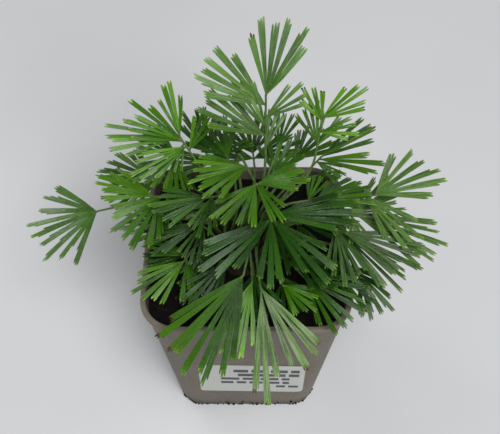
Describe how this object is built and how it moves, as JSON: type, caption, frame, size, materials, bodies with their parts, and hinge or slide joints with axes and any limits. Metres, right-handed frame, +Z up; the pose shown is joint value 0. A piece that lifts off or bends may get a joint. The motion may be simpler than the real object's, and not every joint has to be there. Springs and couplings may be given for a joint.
{
  "type": "potted fern",
  "caption": "Bushy fern with fan-shaped fronds of narrow, toothed blades, growing from a woody crown in a tapered square plastic nursery pot filled with peat.",
  "frame": {"origin": "middle of the pot's flat underside", "axes": "+Z up, -Y towards the pot's labelled side, +X to the right of that side"},
  "size_m": [0.1848, 0.1424, 0.1834],
  "materials": {
    "pot_plastic": "moulded taupe plastic, satin",
    "label_film": "white film with plain grey bars",
    "peat": "moist dark peat with fine grains",
    "crown_wood": "brown, scaly",
    "leaf": "living leaf, satin, with fine veins and paler tips"
  },
  "bodies": {
    "root": {"pot": "pot_plastic", "label": "label_film", "soil": "peat", "crown": "crown_wood", "frond_01": "leaf", "frond_02": "leaf", "frond_03": "leaf", "frond_04": "leaf", "frond_05": "leaf", "frond_06": "leaf", "frond_07": "leaf", "frond_08": "leaf", "frond_09": "leaf", "frond_10": "leaf", "frond_11": "leaf", "frond_12": "leaf", "frond_13": "leaf", "frond_14": "leaf", "frond_15": "leaf", "frond_16": "leaf", "frond_17": "leaf", "frond_18": "leaf", "frond_19": "leaf", "frond_20": "leaf", "frond_21": "leaf", "frond_22": "leaf", "frond_23": "leaf", "frond_24": "leaf", "frond_25": "leaf", "frond_26": "leaf", "frond_27": "leaf", "frond_28": "leaf", "frond_29": "leaf", "frond_30": "leaf", "frond_31": "leaf", "frond_32": "leaf", "frond_33": "leaf", "frond_34": "leaf", "frond_35": "leaf", "frond_36": "leaf", "frond_37": "leaf", "frond_38": "leaf", "frond_39": "leaf", "frond_40": "leaf", "frond_41": "leaf", "frond_42": "leaf", "frond_43": "leaf", "frond_44": "leaf", "frond_45": "leaf", "frond_46": "leaf", "frond_47": "leaf", "frond_48": "leaf", "frond_49": "leaf"}
  },
  "joints": []
}
